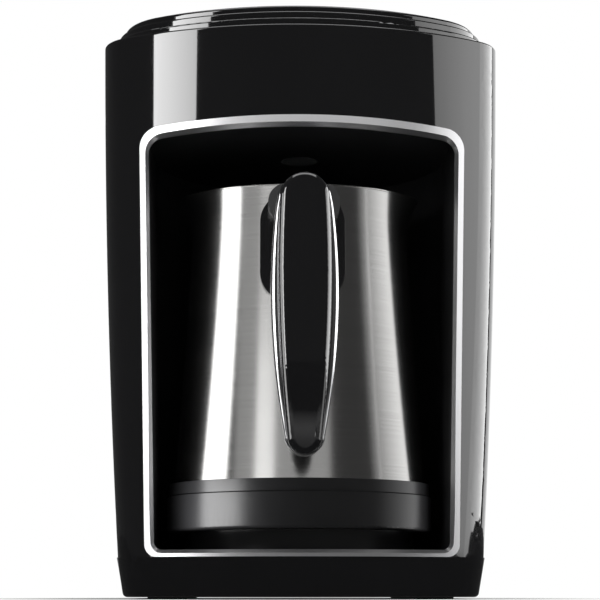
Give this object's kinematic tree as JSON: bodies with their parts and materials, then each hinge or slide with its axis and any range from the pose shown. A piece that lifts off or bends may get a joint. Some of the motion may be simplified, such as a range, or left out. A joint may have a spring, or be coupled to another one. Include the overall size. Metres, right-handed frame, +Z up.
{
  "type": "electric turkish coffee maker",
  "caption": "Glossy black electric Turkish coffee maker: a tower with a front window, a brushed steel pot with a long handle on a dock, and push buttons on top.",
  "frame": {"origin": "middle of the overall width and length, handle and cord inlet included, on the surface that the feet stand on", "axes": "+Z up, -Y is the front with the window and the handle, +X is the viewer's right"},
  "size_m": [0.165, 0.221, 0.241],
  "materials": {
    "gloss_black": "high gloss piano black",
    "satin_black": "fine satin moulding",
    "silver_trim": "satin silver plating",
    "brushed_steel": "brushed along the wall's height",
    "chrome": "bright plating",
    "rubber": "matt",
    "clear": "clear",
    "circuit_board": "solder-masked laminate",
    "component": "moulded case",
    "screw_steel": "zinc plated",
    "brass": "plated contact",
    "heater_metal": "cast",
    "button_grey": "satin metallic"
  },
  "bodies": {
    "housing": {"outer_shell": "gloss_black", "rear_cover": "satin_black", "frame_trim": "silver_trim", "chamber_liner": "satin_black", "base_tray": "gloss_black", "base_deck": "satin_black", "rubber_feet": "rubber", "base_screws": "screw_steel", "rear_screws": "screw_steel", "top_cap": "gloss_black", "control_panel": "satin_black", "light_pipes": "clear", "control_board": "circuit_board", "control_board_screws": "screw_steel", "tact_switches": "component", "indicator_leds": "clear", "buzzer": "component", "sensor_window": "clear", "foam_sensor": "component", "power_board": "circuit_board", "power_board_screws": "screw_steel", "power_relay": "component", "transformer": "component", "filter_capacitor": "component", "terminal_block": "component", "cord_gland": "rubber", "dock_plinth": "satin_black", "dock_connector": "satin_black", "contact_pins": "brass"},
    "pot": {"pot_vessel": "brushed_steel", "pot_socket": "satin_black", "pot_base_cup": "satin_black", "pot_collar": "satin_black", "pot_seal": "rubber", "pot_base_screws": "screw_steel", "heater_plate": "heater_metal", "heating_element": "brushed_steel", "thermal_cutout": "component", "handle_bracket": "gloss_black", "handle_neck": "chrome", "handle_core": "satin_black", "handle_trim": "chrome", "handle_cover": "gloss_black", "handle_screws": "screw_steel"},
    "start_button": {"start_button": "button_grey"},
    "slow_button": {"slow_button": "button_grey"}
  },
  "joints": [
    {"name": "pot_slide", "type": "slide", "parent": "housing", "child": "pot", "axis": [0, -1, 0], "range_m": [0, 0.125]},
    {"name": "start_press", "type": "slide", "parent": "housing", "child": "start_button", "axis": [0, 0, -1], "range_m": [0, 0.0012], "stiffness_N_per_m": 1500},
    {"name": "slow_press", "type": "slide", "parent": "housing", "child": "slow_button", "axis": [0, 0, -1], "range_m": [0, 0.0012], "stiffness_N_per_m": 1500}
  ]
}
